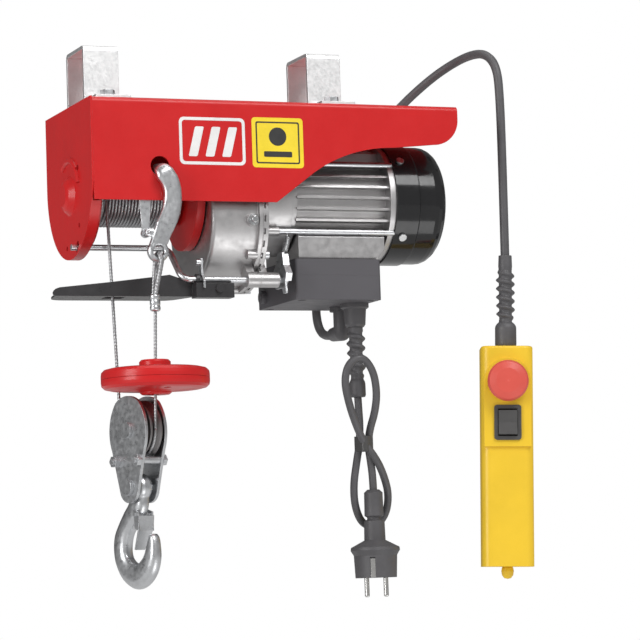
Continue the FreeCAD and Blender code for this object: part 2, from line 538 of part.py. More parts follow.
def make_mains_lead():
    save("mains_cord", cord_tube("mains_cord", MAINS_ROUTE, MAINS_D))
    strands = Part.Face(polygon([(290, -9.5, -338), (297.6, -13, -338), (292, -18.3, -338)]))
    wrap, inside = strands.makeOffset2D(MAINS_D / 2 + 1.3), strands.makeOffset2D(MAINS_D / 2 + 0.1)
    save("cord_tie", wrap.extrude(AZ * 15).cut(inside.extrude(AZ * 15)))
    hole = MAINS_D / 2 + 0.01
    outline = [(hole, 0), (6, 0), (9.2, -3), (9.5, -26), (7.0, -27.5), (7.0, -29.5), (10.2, -31),
               (10.6, -50), (24.0, -57), (24.5, -60), (21.5, -65), (20.5, -87), (0, -87), (0, -6),
               (hole, -6)]
    body = revolve(outline, PLUG, AZ)
    face_z = PLUG.z - 87
    for side in (-1, 1):
        slot_ys = sorted((PLUG.y + side * 18.9, PLUG.y + side * 26))
        body = body.cut(box(PLUG.x - 2.6, PLUG.x + 2.6, *slot_ys, face_z - 1, face_z + 20))
    pins, contacts = [], []
    for side in (-1, 1):
        pin = cyl(Vector(PLUG.x + side * 9.5, PLUG.y, face_z - 19), AZ, 2.4, 19)
        pin = round_edges(pin, 1.6, lambda e: abs(e.CenterOfMass.z - face_z + 19) < 0.1)
        pin = pin.fuse(cyl(Vector(PLUG.x + side * 9.5, PLUG.y, face_z), AZ, 2.2, 12))
        pins.append(pin)
        contacts.append(box(PLUG.x - 2.5, PLUG.x + 2.5, side * 19.5 - 0.6 + PLUG.y,
                            side * 19.5 + 0.6 + PLUG.y, face_z + 0.2, face_z + 19))
        body = body.cut(cyl(Vector(PLUG.x + side * 9.5, PLUG.y, face_z - 1), AZ, 2.25, 13.1))
    for piece in (body, *pins, *contacts):
        piece.rotate(PLUG, AZ, PLUG_TURN)
    save("plug", body)
    save("plug_pins", *pins, *contacts)


PENDANT_ROUTE = [
    (289, 44, -216), (289, 68, -217), (290, 92, -206), (293, 106, -182), (299, 109, -150),
    (310, 107, -112), (324, 104, -72), (343, 99, -34), (365, 90, 2), (389, 76, 30),
    (411, 56, 52), (426, 34, 64), (435, 8, 69), (440, -18, 66), (443.5, -36, 50),
    (444.5, -39, 20), (444.5, -38.5, -62), (444, -37, -152),
]


# ---- pendant control ----
def make_pendant():
    save("pendant_cable", cord_tube("pendant_cable", PENDANT_ROUTE, PENDANT_CABLE_D))
    hole = PENDANT_CABLE_D / 2 + 0.01
    outline = [(hole, 6), (6.6, 6), (7.2, -6)]
    for k in range(6):
        top = -8 - 8.6 * k
        outline += [(6.6, top), (9.8, top - 3), (9.6, top - 4.6), (6.6, top - 7.2)]
    outline += [(6.6, -62), (10.5, -64), (10.8, -86), (hole, -86)]
    save("pendant_strain_relief", in_pendant(revolve(outline, Vector(0, 0, 0), AZ)))

    top, bottom = -GRIP_DROP, -GRIP_DROP - GRIP_H
    w, d = GRIP_W / 2, GRIP_D / 2
    grip = box(-w, w, -d, d, bottom, top)
    grip = round_edges(grip, 9, lambda e: along(e, AZ))
    grip = round_edges(grip, 2.5, lambda e: not along(e, AZ) and abs(e.CenterOfMass.z - top) < 0.1)
    wall = 2.5
    hollow = round_edges(box(-w + wall, w - wall, -d + wall, d - wall, bottom + wall, top - wall),
                         6.5, lambda e: along(e, AZ))
    grip = grip.cut(hollow)
    grip = grip.cut(cyl(Vector(0, 0, top - 5), AZ, hole, 10))
    split = 4.0
    front = grip.cut(box(-60, 60, split - 0.05, 60, bottom - 10, top + 10))
    rear = grip.cut(box(-60, 60, -60, split, bottom - 10, top + 10))
    face = -d - PANEL_RISE
    crown = cyl(Vector(0, face, top - 36), AY, w - 2.5, PANEL_RISE + 1)
    panel = fuse(box(-w + 2.5, w - 2.5, face, -d + 2.4, top - PANEL_BOTTOM, top - 36), crown)
    front = front.fuse(panel)
    stop_z, rocker_z = top - 36, top - 77
    front = front.cut(cyl(Vector(0, -60, stop_z), AY, 11.3, 50))
    front = front.cut(box(-11.2, 11.2, -60, -10, rocker_z - 15.2, rocker_z + 15.2))
    knob = revolve([(0, 0), (5, 0), (5.8, -1.2), (6.3, -4.5), (5.6, -8.5), (3.4, -11.4), (0, -12.2)],
                   Vector(0, 0, bottom), AZ)
    save("pendant_front_shell", in_pendant(front))
    save("pendant_rear_shell", in_pendant(rear))
    save("pendant_end_screw", in_pendant(knob))

    collar = ring(Vector(0, face - 2.2, stop_z), AY, 15, 8, 2.1)
    sleeve = ring(Vector(0, face - 2.2, stop_z), AY, 11.2, 8, 20)
    save("estop_collar", in_pendant(fuse(collar, sleeve)))
    mushroom = revolve([(0, 0), (12, 0.6), (18.6, 2.6), (20.4, 5.6), (20.4, 8.6), (19, 10), (7.9, 10.6),
                        (7.9, 30), (0, 30)], Vector(0, face - 18.3, stop_z), AY)
    save("estop_button", in_pendant(mushroom))
    frame = box(-13.5, 13.5, face - 2, face - 0.05, rocker_z - 17.5, rocker_z + 17.5)
    frame = round_edges(frame, 3, lambda e: along(e, AY))
    frame = fuse(frame, box(-11.1, 11.1, face - 0.8, -8, rocker_z - 15.1, rocker_z + 15.1))
    frame = frame.cut(box(-9.6, 9.6, -40, -8 - 2, rocker_z - 13.6, rocker_z + 13.6))
    save("rocker_frame", in_pendant(frame))
    y0 = face - 5.2
    side = [(-0.6, 12), (1.6, 0), (-0.6, -12), (6, -12.6), (9, 0), (6, 12.6)]
    rocker = prism([(-9.3, y0 + y, rocker_z + z) for y, z in side], Vector(18.6, 0, 0))
    rocker = rocker.fuse(cyl(Vector(-9.3, y0 + 9, rocker_z), AX, 1.5, 18.6))
    save("rocker", in_pendant(rocker))
    contact = box(-14, 14, 6, 18, stop_z - 60, stop_z + 12)
    save("contact_block", in_pendant(contact))


# ---- anchor hook, rope loop, ferrule and the two rope falls ----
def make_anchor():
    y, half_t = ANCHOR.y, 5.5
    edges = [
        Part.LineSegment(Vector(70.5, y, -141), Vector(80, y, -121)),
        Part.Arc(Vector(80, y, -121), Vector(87, y, -94), Vector(78, y, -68)),
        Part.Arc(Vector(78, y, -68), Vector(71, y, -63), Vector(62, y, -64.5)),
        Part.LineSegment(Vector(62, y, -64.5), Vector(60, y, -75)),
        Part.Arc(Vector(60, y, -75), Vector(66.5, y, -82), Vector(69, y, -97)),
        Part.Arc(Vector(69, y, -97), Vector(64, y, -116), Vector(55.5, y, -131)),
        Part.Arc(Vector(55.5, y, -131), Vector(51, y, -148), Vector(60, y, -160)),
        Part.Arc(Vector(60, y, -160), Vector(69, y, -155.5), Vector(70.5, y, -141)),
    ]
    face = Part.Face(Part.Wire([edge.toShape() for edge in edges]))
    face.translate(Vector(0, -half_t, 0))
    body = face.extrude(Vector(0, 2 * half_t, 0))
    tip = cyl(Vector(68, y, -69.5), AY, 5.5, 18)
    nose = cyl(Vector(68, y + 12.5, -62), -AZ, 4.5, 22)
    ear = fuse(box(51, 64, y - 2, y + 2, -135, -127), cyl(Vector(52, y - 2, -131), AY, 4, 4))
    eye = cyl(Vector(LOOP_CROWN.x, y - 10, EYE_Z), AY, EYE_R, 20)
    for side in (-1, 1):
        face_y = y + side * (EYE_HALF_T + 5)
        eye = eye.fuse(box(40, 80, face_y - 5, face_y + 5, -170, EYE_Z + 12))
    pin = cyl(Vector(52, y - 4.2, -131), AY, 1.5, 17)
    body = fuse(body, tip, nose, ear).cut(eye)
    save("anchor_hook", fuse(body, pin))
    blade = prism([(46.5, y + 8.5, -92), (59, y + 8.5, -92), (56, y + 8.5, -131),
                   (49, y + 8.5, -131)], Vector(0, 1.5, 0))
    blade = blade.fuse(cyl(Vector(52, y + 5.5, -131), AY, 4.2, 4.5))
    lip = box(46.5, 59, y + 8.5, y + 13, -92, -90.5)
    save("anchor_latch", fuse(blade, lip).cut(cyl(Vector(52, y, -131), AY, 1.55, 20)))


def make_falls():
    turn = math.radians(BLOCK_TURN)
    across = Vector(-math.sin(turn), math.cos(turn), 0) * PULLEY_ROPE_R
    drum_end = Vector(27, -(COIL_R + ROPE_D / 2 + 0.2), DRUM_Z)
    ferrule_end = Vector(ANCHOR.x, ANCHOR.y, ANCHOR.z - FERRULE_H - 0.1)
    for name, top, low in (("rope_fall_drum", drum_end, BLOCK + across),
                           ("rope_fall_anchor", ferrule_end, BLOCK - across)):
        save(name, cyl(top, low - top, ROPE_D / 2, (low - top).Length))
    rope = Part.makeTorus(PULLEY_ROPE_R, ROPE_D / 2, Vector(0, 0, 0), AX)
    rope = rope.cut(box(-20, 20, -60, 60, -0.3, 60))
    save("rope_on_pulley", in_block(rope))


def make_rope_loop():
    """Loop of rope through the hook's eye, square to it, with the pressed ferrule on its legs."""
    crown = Part.makeTorus(LOOP_R, LOOP_ROPE_R, LOOP_CROWN, AX)
    crown = crown.cut(box(40, 80, -100, -60, LOOP_CROWN.z - 20, LOOP_CROWN.z))
    legs = []
    for side in (-1, 1):
        start = LOOP_CROWN + AY * side * LOOP_R
        end = ANCHOR + AY * side * LOOP_ROPE_R * 1.05 - AZ
        legs.append(cyl(start, end - start, LOOP_ROPE_R, (end - start).Length))
        legs.append(Part.makeSphere(LOOP_ROPE_R, start))
    ferrule = cyl(ANCHOR, -AZ, FERRULE_R, FERRULE_H - 0.02)
    save("rope_end_loop", fuse(crown, *legs).cut(ferrule), ferrule)


# ---- limit lever ----
def make_limit_lever():
    """Crank rod in the end plate's slot and the case lug, with the stop lever and the cam on it."""
    web_y, plate = -47.0, 2.0
    web = prism([(-32.4, web_y, -186.6), (-32.6, web_y, -184.8), (-31.6, web_y, -182.8),
                 (-29.4, web_y, -181), (-26, web_y, -179.8), (24, web_y, -174.5), (66, web_y, -169.5),
                 (84, web_y, -167), (112, web_y, -176), (146, web_y, -177), (146, web_y, -188),
                 (-30.6, web_y, -188)], Vector(0, plate, 0))
    lip = prism([(-30.6, web_y, -188), (112, web_y, -188), (96, web_y + 42, -188),
                 (-24, web_y + 42, -188)], AZ * plate)
    lip = round_edges(lip, 15, lambda e: along(e, AZ) and e.CenterOfMass.y > web_y + 10)
    slot = box(22, 42, -39, -23, -190, -180)
    clamp = box(106.5, 145, -60, web_y + plate, -190, -176)
    clamp_ring = cyl(Vector(108.5, LEVER_Y, LEVER_Z), AX, LIMIT_ROD_R + 2.4, 3)
    bolt = cyl(Vector(130, -62.4, -181.5), AY, 4, 5)
    lever = fuse(web, lip.cut(slot), clamp, clamp_ring, bolt)
    save("stop_lever", lever.cut(cyl(Vector(90, LEVER_Y, LEVER_Z), AX, LIMIT_ROD_R + 0.02, 70)))

    crank = [(-6, CRANK_Y, CRANK_Z), (CRANK_X, CRANK_Y, CRANK_Z), (CRANK_X + 3, LEVER_Y, LEVER_Z),
             (203, LEVER_Y, LEVER_Z)]
    path, _ = rounded_path(crank, 9)
    section = Part.Wire(Part.Circle(Vector(*crank[0]), AX, LIMIT_ROD_R).toShape())
    rod = path.makePipeShell([section], True, False)
    clip = prism([(113, -63, -181), (113, -60.4, -181), (113, -60.4, -175.6), (113, -48, -175.6),
                  (113, -48, -152), (113, -56, -152), (113, -57.5, -168), (113, -63, -174)], AX * 2)
    clip_screw = cyl(Vector(109, -53, -155.5), AX, 3, 6.5)
    save("limit_rod", fuse(rod, clip, clip_screw))

    x, y, z = LIMIT_CAM_X, LEVER_Y, LEVER_Z
    cam = prism([(x, y + 6, z + 27), (x, y - 6, z + 27), (x, y - 9, z + 14), (x, y - 16, z + 5),
                 (x, y - 12, z - 3), (x, y - 14, z - 14), (x, y - 6, z - 14), (x, y - 2, z - 8),
                 (x, y + 14, z - 8), (x, y + 22, z + 8), (x, y + 11, z + 18)], AX * 2)
    cam = round_edges(cam, 1.5, lambda e: along(e, AX))
    edge = [(-6, 25), (-9, 14), (-16, 5), (-12.4, -2), (-10.9, -2), (-14.2, 5.4), (-7.4, 14.4), (-4.5, 25)]
    fold = prism([(x + 1, y + dy, z + dz) for dy, dz in edge], AX * 5.5)
    peg = cyl(Vector(x + 1, SPRING_FOOT.y, SPRING_FOOT.z), AX, 1.2, 5)
    save("cam_plate", fuse(cam, fold, peg).cut(cyl(Vector(x - 1, y, z), AX, LIMIT_ROD_R + 0.02, 5)))
    reach = SPRING_HEAD - SPRING_FOOT
    hook = reach * (SPRING_HOOK / reach.Length)
    save("return_spring", ring(SPRING_FOOT + hook, reach, 3.2, 1.9, reach.Length - SPRING_HOOK))


# ---- pulley block, in its own frame: X along the axle, Z up, origin at the pulley ----
def make_block():
    half_gap = CHEEK_GAP / 2
    edges = [
        Part.Arc(Vector(0, 17.6, 26.5), Vector(0, 0, CHEEK_R), Vector(0, -17.6, 26.5)),
        Part.Arc(Vector(0, -17.6, 26.5), Vector(0, -27.6, 4), Vector(0, -24.4, -19)),
        Part.LineSegment(Vector(0, -24.4, -19), Vector(0, -13, -60)),
        Part.Arc(Vector(0, -13, -60), Vector(0, 0, -69), Vector(0, 13, -60)),
        Part.LineSegment(Vector(0, 13, -60), Vector(0, 24.4, -19)),
        Part.Arc(Vector(0, 24.4, -19), Vector(0, 27.6, 4), Vector(0, 17.6, 26.5)),
    ]
    cheek = Part.Face(Part.Wire([edge.toShape() for edge in edges])).extrude(Vector(CHEEK_T, 0, 0))
    guard = ((17, -29), (-17, -29))
    cheek = cheek.cut(cyl(Vector(-1, 0, 0), AX, 6.03, 6)).cut(cyl(Vector(-1, 0, HOOK_PIN_Z), AX, 5.03, 6))
    for y, z in guard:
        cheek = cheek.cut(cyl(Vector(-1, y, z), AX, 3.03, 6))
    cheeks = []
    for x in (-half_gap - CHEEK_T, half_gap):
        side = cheek.copy()
        side.translate(Vector(x, 0, 0))
        cheeks.append(side)
    save("block_cheeks", *[in_block(side) for side in cheeks])
    reach = half_gap + CHEEK_T
    axle = cyl(Vector(-reach - 1.5, 0, 0), AX, 6, 2 * reach + 3)
    rivet = cyl(Vector(-reach - 3, 0, 0), AX, 8, 2.95).fuse(cyl(Vector(reach + 0.05, 0, 0), AX, 8, 2.95))
    save("block_axle", in_block(fuse(axle, rivet)))
    bolts = []
    for y, z in guard:
        bolts.append(cyl(Vector(-reach - 7, y, z), AX, 3, 2 * reach + 10)
                     .fuse(hexagon(Vector(reach + 0.05, y, z), AX, 10, 4)))
        nut = hexagon(Vector(-reach - 5.05, y, z), AX, 10, 5)
        bolts.append(nut.cut(cyl(Vector(-30, y, z), AX, 3.03, 60)))
        bolts.append(ring(Vector(-half_gap + 0.05, y, z), AX, 3.9, 3.03, CHEEK_GAP - 0.1))
    pin = cyl(Vector(-reach - 1, 0, HOOK_PIN_Z), AX, 5, 2 * reach + 7)
    head = cyl(Vector(-reach - 4, 0, HOOK_PIN_Z), AX, 8, 3.95)
    nut = hexagon(Vector(reach + 0.05, 0, HOOK_PIN_Z), AX, 13, 5)
    bolts.append(fuse(pin, head, nut))
    save("block_bolts", *[in_block(bolt) for bolt in bolts])

    w, groove = PULLEY_W / 2, PULLEY_ROPE_R - ROPE_D / 2 - 0.1
    outline = [(9.5, -w), (14, -w), (14, -w + 2), (22, -w + 2), (24, -w), (PULLEY_R, -w), (PULLEY_R, -w + 2),
               (groove + 0.6, -1.9), (groove, -0.9), (groove, 0.9), (groove + 0.6, 1.9),
               (PULLEY_R, w - 2), (PULLEY_R, w), (24, w), (22, w - 2), (14, w - 2), (14, w), (9.5, w)]
    bush = ring(Vector(-w - 1, 0, 0), AX, 9.45, 6.05, PULLEY_W + 2)
    save("pulley", in_block(revolve(outline, Vector(0, 0, 0), AX)), in_block(bush))


def make_load_hook():
    """Forged hook in the block's YZ plane; its mouth is on the -Y side."""
    t, pin = 7.5, HOOK_PIN_Z
    corners = [
        ((-9.5, -9), (0, 13), (9.5, -9)),
        ((9.5, -9), (17, -19), (27, -29)),
        ((27, -29), (38, -52), (31, -80)),
        ((31, -80), (7, -96.5), (-17, -87)),
        ((-17, -87), (-26, -66), (-24, -48)),
        ((-24, -48), (-19.5, -43.5), (-14.5, -48)),
        ((-14.5, -48), (-9, -63), (2, -71.5)),
        ((2, -71.5), (13.5, -68.5), (19, -56)),
        ((19, -56), (15, -44), (6, -36)),
        ((6, -36), (-7, -25), (-9.5, -9)),
    ]
    edges = [Part.Arc(*[Vector(-t, y, pin + z) for y, z in arc]).toShape() for arc in corners]
    body = Part.Face(Part.Wire(edges)).extrude(Vector(2 * t, 0, 0))
    body = body.cut(cyl(Vector(-20, 0, pin), AX, 5.05, 40))
    y, z = LATCH_PIVOT
    body = body.cut(cyl(Vector(-20, y, z), AX, 1.6, 40))
    save("load_hook", in_block(body))
    ears = []
    for x in (-t - 1.6, t + 0.3):
        ears.append(prism([(x, y + 4, z + 4), (x, y - 4, z + 4), (x, y - 10, z - 13), (x, y - 3.6, z - 13)],
                          Vector(1.3, 0, 0)))
    web = prism([(-t - 1.6, y - 6.4, z + 1), (-t - 1.6, y - 9, z - 13), (-t - 1.6, y - 5.5, z - 33),
                 (-t - 1.6, y - 4.1, z - 33), (-t - 1.6, y - 7.5, z - 13), (-t - 1.6, y - 5, z + 0.6)],
                Vector(2 * t + 3.2, 0, 0))
    taper = prism([(-t - 1.6, y - 20, z + 5), (t + 1.6, y - 20, z + 5), (t + 1.6, y - 20, z - 10),
                   (5.6, y - 20, z - 34), (-5.6, y - 20, z - 34), (-t - 1.6, y - 20, z - 10)], AY * 30)
    rivet = cyl(Vector(-t - 3, y, z), AX, 1.55, 2 * t + 6)
    latch = fuse(web.common(taper), rivet, *ears)
    latch.rotate(Vector(0, y, z), AX, LATCH_REST)
    save("load_latch", in_block(latch))


def make_counterweight():
    """Two screwed halves round the rope; the upper bore lets the ferrule enter."""
    rim, top, low = DISC_RIM_H / 2, 18.0, -15.0
    section = [(DISC_HUB_R - 2, top), (DISC_HUB_R, top - 2), (DISC_HUB_R, rim + 2.2),
               (DISC_HUB_R + 3, rim + 1.4), (DISC_R - 8, rim - 0.3), (DISC_R - 3, rim - 1.5),
               (DISC_R - 0.5, rim - 4), (DISC_R, rim - 7), (DISC_R, 0.15), (DISC_R - 0.9, 0)]
    upper = revolve([(DISC_BORE_R, 0), (DISC_BORE_R, top)] + section, DISC, AZ)
    lower_outline = [(r, -h) for r, h in section]
    lower_outline[0] = (DISC_HUB_R - 2, low)
    lower_outline[1] = (DISC_HUB_R, low + 1.5)
    bore = [(DISC_BORE_R, 0), (DISC_BORE_R, -8), (3, -11), (3, low)]
    lower = revolve(bore + lower_outline, DISC - AZ * 0.02, AZ)
    for angle in (30, 150, 270):
        place = DISC + Vector(36 * math.cos(math.radians(angle)), 36 * math.sin(math.radians(angle)), -30)
        upper = upper.cut(cyl(place + AZ * 25, AZ, 1.6, 14))
        lower = lower.cut(cyl(place, AZ, 3.6, 24.5)).cut(cyl(place, AZ, 1.7, 40))
    save("counterweight", upper, lower)


make_housing()
make_end_plate()
make_hangers()
make_drum()
gear_screws = make_gear_case()
make_gear_train()
make_motor()
box_screws = make_control_box()
save("case_screws", *gear_screws, *box_screws)
make_glands()
make_mains_lead()
make_pendant()
make_anchor()
make_rope_loop()
make_falls()
make_limit_lever()
make_block()
make_load_hook()
make_counterweight()
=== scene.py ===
"""The looks of an electric wire rope hoist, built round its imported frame. Metres, +Z up."""
import json
import math

import bmesh
import bpy
import numpy as np
from mathutils import Matrix, Vector


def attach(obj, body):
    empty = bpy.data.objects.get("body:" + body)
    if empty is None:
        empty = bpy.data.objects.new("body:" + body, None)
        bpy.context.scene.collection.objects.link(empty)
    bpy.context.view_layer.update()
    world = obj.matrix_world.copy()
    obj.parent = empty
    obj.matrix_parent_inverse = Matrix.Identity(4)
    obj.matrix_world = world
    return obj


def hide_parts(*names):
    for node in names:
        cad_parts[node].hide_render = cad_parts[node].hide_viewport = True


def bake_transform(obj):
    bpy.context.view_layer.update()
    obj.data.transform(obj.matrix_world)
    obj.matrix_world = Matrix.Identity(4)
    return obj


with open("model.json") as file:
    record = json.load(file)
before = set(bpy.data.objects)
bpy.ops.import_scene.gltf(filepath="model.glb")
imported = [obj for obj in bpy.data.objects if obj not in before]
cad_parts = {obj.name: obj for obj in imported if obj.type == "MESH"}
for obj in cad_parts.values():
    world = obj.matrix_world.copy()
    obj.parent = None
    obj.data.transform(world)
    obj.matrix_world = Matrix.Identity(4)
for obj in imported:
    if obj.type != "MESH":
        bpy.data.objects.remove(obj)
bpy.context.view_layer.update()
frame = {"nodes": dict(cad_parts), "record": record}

nodes = frame["nodes"]
AY, AZ = Vector((0, 1, 0)), Vector((0, 0, 1))
MM = 0.001


# ---- camera ----
CAMERA_AT = Vector((-0.972, -2.767, -0.480))
CAMERA_TURN, CAMERA_RISE, CAMERA_ROLL = math.radians(21.43), math.radians(5.27), math.radians(-1.94)
CAMERA_LENS = 168.75


def make_camera():
    data = bpy.data.cameras.new("camera")
    data.sensor_width = 36
    data.lens = CAMERA_LENS
    ahead = Vector((math.sin(CAMERA_TURN) * math.cos(CAMERA_RISE),
                    math.cos(CAMERA_TURN) * math.cos(CAMERA_RISE), math.sin(CAMERA_RISE)))
    level = Vector((math.cos(CAMERA_TURN), -math.sin(CAMERA_TURN), 0))
    up = level.cross(ahead)
    right = level * math.cos(CAMERA_ROLL) + up * math.sin(CAMERA_ROLL)
    top = up * math.cos(CAMERA_ROLL) - level * math.sin(CAMERA_ROLL)
    camera = bpy.data.objects.new("camera", data)
    camera.matrix_world = Matrix.Translation(CAMERA_AT) @ Matrix((right, top, -ahead)).transposed().to_4x4()
    bpy.context.collection.objects.link(camera)
    bpy.context.scene.camera = camera


make_camera()


# ---- cords: the routes of part.py, in millimetres from its housing's left end ----
HOUSING_LEFT = -142
MAINS_ROUTE = [
    (288, -14, -282), (288.5, -14, -296), (290, -12, -312), (290, -9.5, -330), (286, -9, -350),
    (283, -7, -371), (286, -1, -392), (295, 4, -409), (309, 5, -413), (320, 1, -401),
    (321, -6, -381), (313, -14, -362), (302.5, -21.5, -346), (291.5, -18, -330), (281, -24, -312),
    (272, -30, -292), (266, -34, -269), (271, -36, -251), (285, -37, -245), (297, -35, -259),
    (301, -33, -281), (300.5, -27, -300), (298.5, -17, -316), (297.5, -13, -331),
    (299, -14.5, -347), (301, -14, -363), (301.2, -14, -379),
]
PENDANT_ROUTE = [
    (289, 44, -216), (289, 68, -217), (290, 92, -206), (293, 106, -182), (299, 109, -150),
    (310, 107, -112), (324, 104, -72), (343, 99, -34), (365, 90, 2), (389, 76, 30),
    (411, 56, 52), (426, 34, 64), (435, 8, 69), (440, -18, 66), (443.5, -36, 50),
    (444.5, -39, 20), (444.5, -38.5, -62), (444, -37, -152),
]
MAINS_D, PENDANT_D = 7.6, 9.0


def place(x, y, z):
    """A point of part.py's millimetres, in the row frame."""
    return Vector((x + HOUSING_LEFT, y, z)) * MM


def make_cord(name, route, diameter):
    data = bpy.data.curves.new(name, "CURVE")
    data.dimensions = "3D"
    line = data.splines.new("NURBS")
    line.points.add(len(route) - 1)
    for point, at in zip(line.points, route):
        point.co = (*place(*at), 1)
        point.radius = diameter / 2 * MM  # the bevel is one metre, so this is the cord's radius
    line.order_u = 3
    line.use_endpoint_u = True
    line.resolution_u = 12
    data.bevel_depth = 1.0
    data.bevel_resolution = 5
    data.use_fill_caps = True
    cord = bpy.data.objects.new(name, data)
    bpy.context.collection.objects.link(cord)
    return cord


mains_lead = make_cord("mains_lead", MAINS_ROUTE, MAINS_D)
pendant_lead = make_cord("pendant_lead", PENDANT_ROUTE, PENDANT_D)
for cord, node in ((mains_lead, "mains_cord"), (pendant_lead, "pendant_cable")):
    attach(cord, "frame")
    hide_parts(node)


# ---- shading ----
def new_material(name):
    material = bpy.data.materials.new(name)
    material.use_nodes = True
    tree = material.node_tree
    shader = tree.nodes["Principled BSDF"]
    return material, tree, shader


def ramp(tree, source, low, high, colour_low, colour_high):
    made = tree.nodes.new("ShaderNodeValToRGB")
    made.color_ramp.elements[0].position = low
    made.color_ramp.elements[1].position = high
    made.color_ramp.elements[0].color = colour_low
    made.color_ramp.elements[1].color = colour_high
    tree.links.new(source, made.inputs[0])
    return made.outputs[0]


def grey(value):
    return (value, value, value, 1)


def shade(colour, factor):
    return tuple(min(1, c * factor) for c in colour) + (1,)


def noise(tree, at, scale, detail=4, rough=0.55):
    made = tree.nodes.new("ShaderNodeTexNoise")
    made.inputs["Scale"].default_value = scale
    made.inputs["Detail"].default_value = detail
    made.inputs["Roughness"].default_value = rough
    tree.links.new(at, made.inputs["Vector"])
    return made.outputs["Fac"]


EDGE_RADIUS = 0.0006


def finish_material(name, colour, metallic=0.0, rough=0.4, rough_spread=0.1, patch=25, tone=0.08,
                    grain=0, grain_depth=0.0, stretch=(1, 1, 1), coat=0.0, coat_rough=0.1,
                    specular=0.5):
    """A finish with uneven tone and roughness and a fine grain, from noise in object space."""
    material, tree, shader = new_material(name)
    place_node = tree.nodes.new("ShaderNodeTexCoord")
    stretched = tree.nodes.new("ShaderNodeMapping")
    stretched.inputs["Scale"].default_value = stretch
    tree.links.new(place_node.outputs["Object"], stretched.inputs["Vector"])
    at = stretched.outputs["Vector"]
    broad = noise(tree, place_node.outputs["Object"], patch)
    fine = noise(tree, at, grain or patch * 12, 3, 0.6)
    colours = ramp(tree, broad, 0.3, 0.7, shade(colour, 1 - tone), shade(colour, 1 + tone))
    mixed = tree.nodes.new("ShaderNodeMix")
    mixed.data_type = "RGBA"
    mixed.blend_type = "MULTIPLY"
    mixed.inputs["Factor"].default_value = 1.0
    tree.links.new(colours, mixed.inputs["A"])
    tree.links.new(ramp(tree, fine, 0.25, 0.75, grey(1 - tone), grey(1)), mixed.inputs["B"])
    tree.links.new(mixed.outputs["Result"], shader.inputs["Base Color"])
    roughness = tree.nodes.new("ShaderNodeMapRange")
    roughness.inputs["From Min"].default_value = 0.3
    roughness.inputs["From Max"].default_value = 0.7
    roughness.inputs["To Min"].default_value = max(0.02, rough - rough_spread)
    roughness.inputs["To Max"].default_value = rough + rough_spread
    tree.links.new(noise(tree, at, patch * 4, 5), roughness.inputs["Value"])
    tree.links.new(roughness.outputs["Result"], shader.inputs["Roughness"])
    shader.inputs["Metallic"].default_value = metallic
    shader.inputs["Specular IOR Level"].default_value = specular
    shader.inputs["Coat Weight"].default_value = coat
    shader.inputs["Coat Roughness"].default_value = coat_rough
    if grain_depth:
        bump = tree.nodes.new("ShaderNodeBump")
        edge = tree.nodes.new("ShaderNodeBevel")
        edge.samples = 4
        edge.inputs["Radius"].default_value = EDGE_RADIUS
        tree.links.new(edge.outputs["Normal"], bump.inputs["Normal"])
        bump.inputs["Strength"].default_value = 0.6
        bump.inputs["Distance"].default_value = grain_depth
        tree.links.new(fine, bump.inputs["Height"])
        tree.links.new(bump.outputs["Normal"], shader.inputs["Normal"])
    return material


